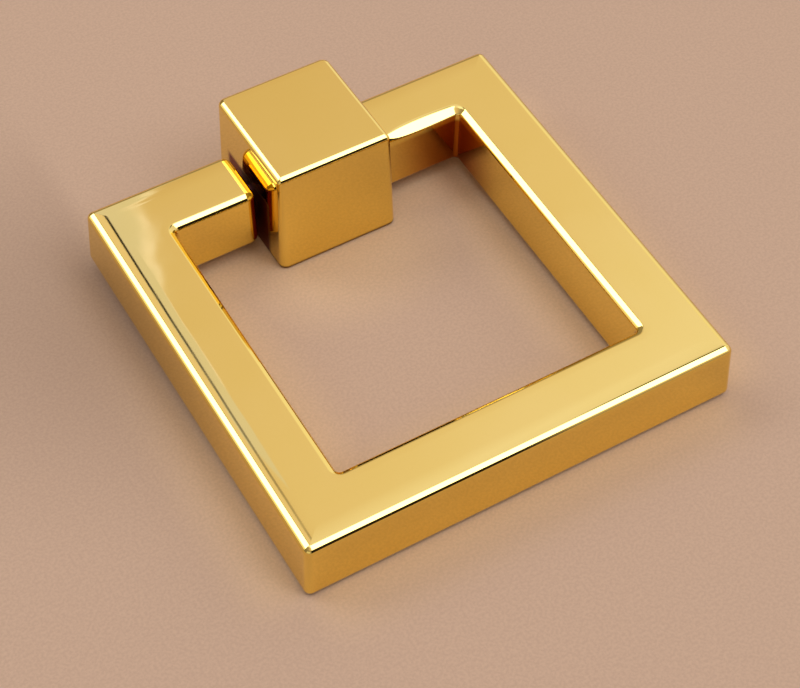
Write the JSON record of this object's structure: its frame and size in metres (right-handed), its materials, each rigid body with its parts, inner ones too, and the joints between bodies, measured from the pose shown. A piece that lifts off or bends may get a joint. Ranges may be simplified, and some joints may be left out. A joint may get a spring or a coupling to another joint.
{
  "type": "ring pull handle",
  "caption": "Square ring pull: a flat square ring swings on pins in the sides of a cube-shaped post that one screw holds to a drawer or door.",
  "frame": {"origin": "centre of the post's back face, in the mouth of its screw hole, on the drawer or door face", "axes": "+X along the pivot axis, +Y up the door face from the grip bar to the pivot, +Z out of the door face"},
  "size_m": [0.05, 0.0536, 0.0135],
  "materials": {
    "gold_finish": "mirror-polished gold plating",
    "pin_steel": "ground steel"
  },
  "bodies": {
    "post": {"post": "gold_finish"},
    "ring": {"ring": "gold_finish", "left_pivot_pin": "pin_steel", "right_pivot_pin": "pin_steel"}
  },
  "joints": [
    {"name": "ring_swing", "type": "hinge", "parent": "post", "child": "ring", "pos_m": [0, 0, 0.00512], "axis": [-1, 0, 0], "range_deg": [0, 183.3]}
  ]
}
